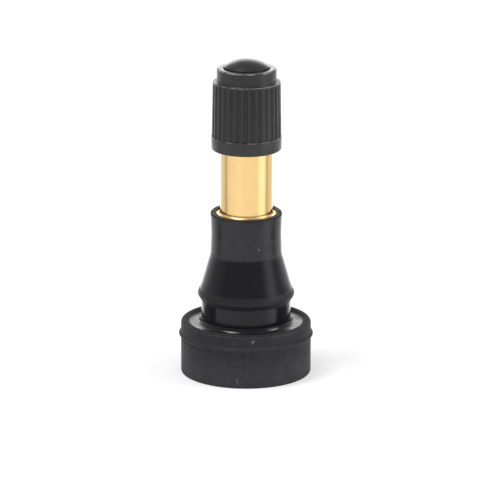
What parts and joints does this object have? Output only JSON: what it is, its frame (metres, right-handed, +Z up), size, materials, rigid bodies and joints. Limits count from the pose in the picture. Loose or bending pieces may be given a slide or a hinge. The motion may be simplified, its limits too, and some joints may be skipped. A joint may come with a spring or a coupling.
{
  "type": "tyre valve",
  "caption": "Snap-in tyre valve: rubber body with a rim groove on a brass stem, a spring-loaded valve core inside, and a ribbed screw cap with a domed seal.",
  "frame": {"origin": "centre of the rubber base's flat underside", "axes": "+Z up the stem's axis from the base to the cap; -Y faces the viewer"},
  "size_m": [0.0197, 0.0198, 0.0471],
  "materials": {
    "body_rubber": "matte moulded black rubber",
    "stem_brass": "bright turned brass",
    "cap_plastic": "satin charcoal plastic",
    "seal_rubber": "smooth black rubber",
    "core_brass": "turned brass",
    "barrel_washer": "red-brown sealing rubber",
    "spring_steel": "bright spring wire"
  },
  "bodies": {
    "valve": {"rubber_body": "body_rubber", "brass_stem": "stem_brass", "core_plug": "core_brass", "core_barrel": "core_brass", "core_barrel_washer": "barrel_washer", "core_spring": "spring_steel"},
    "cap_insert": {"cap_seal": "seal_rubber"},
    "cap": {"cap_shell": "cap_plastic"},
    "pin": {"core_pin": "core_brass", "core_cup": "core_brass", "core_cup_washer": "seal_rubber"}
  },
  "joints": [
    {"name": "cap_rise", "type": "slide", "parent": "valve", "child": "cap_insert", "axis": [0, 0, 1], "range_m": [0, 0.00873]},
    {"name": "cap_unscrew", "type": "hinge", "parent": "cap_insert", "child": "cap", "pos_m": [0, 0, 0.0438], "axis": [0, 0, 1], "range_deg": [0, 3960]},
    {"name": "pin_press", "type": "slide", "parent": "valve", "child": "pin", "axis": [0, 0, -1], "range_m": [0, 0.0015], "stiffness_N_per_m": 800, "deforming": ["core_spring"]}
  ],
  "couplings": [
    {"joint": "cap_unscrew", "follows": "cap_rise", "rad_per_m": 7915.8}
  ]
}
